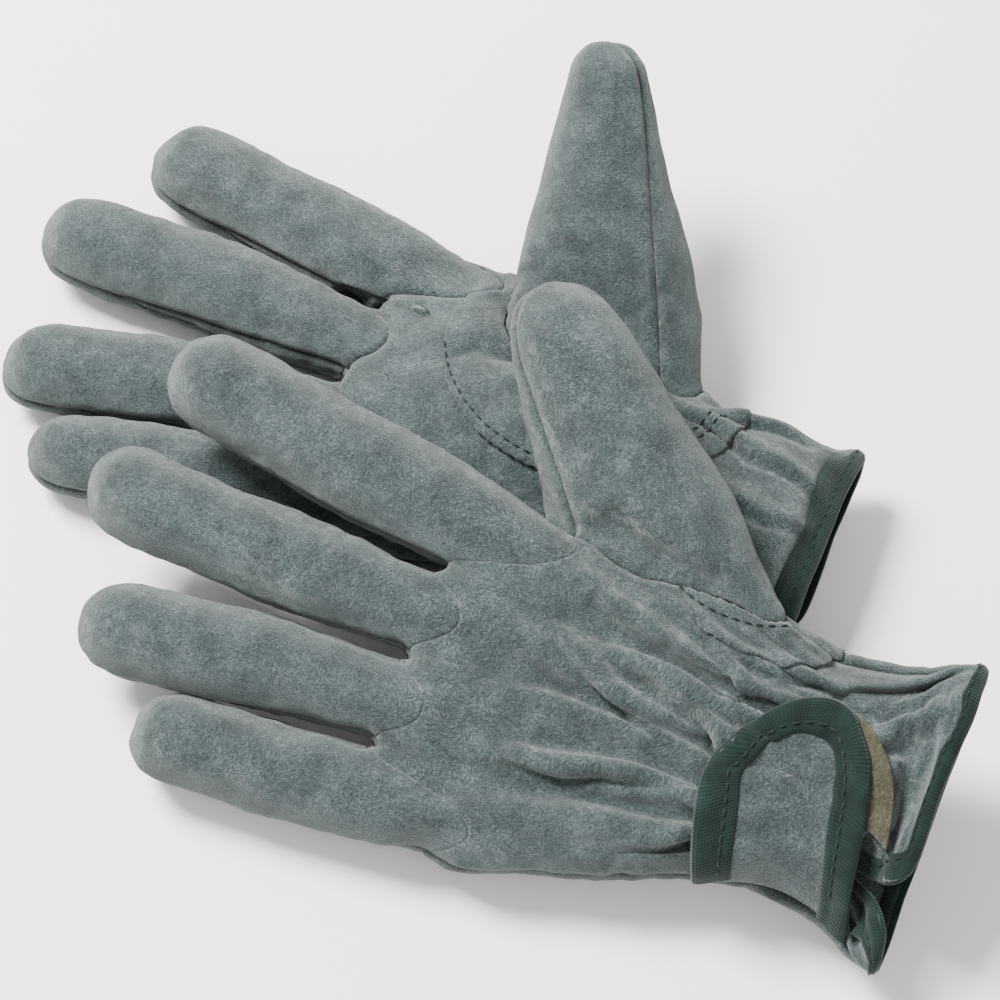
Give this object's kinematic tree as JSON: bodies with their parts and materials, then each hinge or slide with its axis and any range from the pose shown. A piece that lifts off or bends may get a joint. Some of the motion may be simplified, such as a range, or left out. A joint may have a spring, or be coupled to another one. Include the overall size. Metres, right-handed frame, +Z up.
{
  "type": "pair of suede work gloves",
  "caption": "Pair of soft suede work gloves with bound cuffs and hook-and-loop wrist straps, laid one over the other, for gardening and handling work",
  "frame": {"origin": "middle of the underside of the whole pair, on the surface it lies on", "axes": "+X from the fingertips to the cuffs, +Y from the little fingers to the thumbs, +Z up"},
  "size_m": [0.2952, 0.2358, 0.0723],
  "materials": {
    "suede": "grey-green split suede, fine mottled nap",
    "binding_tape": "dark green woven binding tape, matt",
    "hook_tape": "dark green hook tape",
    "loop_tape": "olive-brown looped pile",
    "elastic": "grey-green knitted elastic"
  },
  "bodies": {
    "right_glove": {"right_cuff_binding": "binding_tape", "right_hand_back": "suede", "right_hook_pad": "hook_tape", "right_index_middle_crotch": "suede", "right_little_back": "suede", "right_little_front": "suede", "right_little_gussets": "suede", "right_loop_pad": "loop_tape", "right_middle_ring_crotch": "suede", "right_palm": "suede", "right_ring_back": "suede", "right_ring_front": "suede", "right_ring_gussets": "suede", "right_ring_little_crotch": "suede", "right_slit_binding": "binding_tape", "right_strap": "suede", "right_strap_binding": "binding_tape", "right_thumb_patch": "suede", "right_wrist_elastic": "elastic"},
    "left_glove": {"left_cuff_binding": "binding_tape", "left_hand_back": "suede", "left_index_middle_crotch": "suede", "left_loop_pad": "loop_tape", "left_middle_ring_crotch": "suede", "left_palm": "suede", "left_ring_little_crotch": "suede", "left_slit_binding": "binding_tape", "left_thumb_patch": "suede", "left_wrist_elastic": "elastic"},
    "left_strap_tab": {"left_strap": "suede", "left_strap_binding": "binding_tape", "left_hook_pad": "hook_tape"},
    "left_index": {"left_index_back": "suede", "left_index_front": "suede", "left_index_gussets": "suede"},
    "left_middle": {"left_middle_back": "suede", "left_middle_front": "suede", "left_middle_gussets": "suede"},
    "left_ring": {"left_ring_back": "suede", "left_ring_front": "suede", "left_ring_gussets": "suede"},
    "left_little": {"left_little_back": "suede", "left_little_front": "suede", "left_little_gussets": "suede"},
    "left_thumb": {"left_thumb_back": "suede", "left_thumb_front": "suede"},
    "right_index": {"right_index_back": "suede", "right_index_front": "suede", "right_index_gussets": "suede"},
    "right_middle": {"right_middle_back": "suede", "right_middle_front": "suede", "right_middle_gussets": "suede"},
    "right_thumb": {"right_thumb_back": "suede", "right_thumb_front": "suede"}
  },
  "joints": [
    {"name": "left_glove_lift", "type": "slide", "parent": "right_glove", "child": "left_glove", "axis": [0, 0, 1], "range_m": [0, 0.12]},
    {"name": "left_index_bend", "type": "hinge", "parent": "left_glove", "child": "left_index", "pos_m": [0.02753, -0.03542, 0.05223], "axis": [0.124, 0.9324, 0.3394], "range_deg": [0, 35]},
    {"name": "left_middle_bend", "type": "hinge", "parent": "left_glove", "child": "left_middle", "pos_m": [0.01037, -0.05908, 0.04362], "axis": [0.0219, 0.9395, 0.3419], "range_deg": [0, 35]},
    {"name": "left_ring_bend", "type": "hinge", "parent": "left_glove", "child": "left_ring", "pos_m": [0.01026, -0.08287, 0.03475], "axis": [-0.0831, 0.9364, 0.3408], "range_deg": [0, 35]},
    {"name": "left_little_bend", "type": "hinge", "parent": "left_glove", "child": "left_little", "pos_m": [0.0286, -0.10466, 0.02618], "axis": [-0.0694, 0.9374, 0.3412], "range_deg": [0, 35]},
    {"name": "left_thumb_bend", "type": "hinge", "parent": "left_glove", "child": "left_thumb", "pos_m": [0.05588, -0.03059, 0.05075], "axis": [0.7643, 0.606, 0.2206], "range_deg": [0, 25]},
    {"name": "right_index_bend", "type": "hinge", "parent": "right_glove", "child": "right_index", "pos_m": [-0.02351, 0.04809, 0.02498], "axis": [0.1076, 0.9942, 0], "range_deg": [0, 35]},
    {"name": "right_middle_bend", "type": "hinge", "parent": "right_glove", "child": "right_middle", "pos_m": [-0.04295, 0.02202, 0.02657], "axis": [0.0172, 0.9999, 0], "range_deg": [0, 35]},
    {"name": "right_thumb_bend", "type": "hinge", "parent": "right_glove", "child": "right_thumb", "pos_m": [0.01491, 0.03464, 0.02716], "axis": [0.9298, 0.368, 0], "range_deg": [0, 15]},
    {"name": "left_strap_open", "type": "hinge", "parent": "left_glove", "child": "left_strap_tab", "pos_m": [0.09592, -0.10097, 0.01955], "axis": [0.9998, -0.0188, -0.0068], "range_deg": [0, 150]}
  ]
}
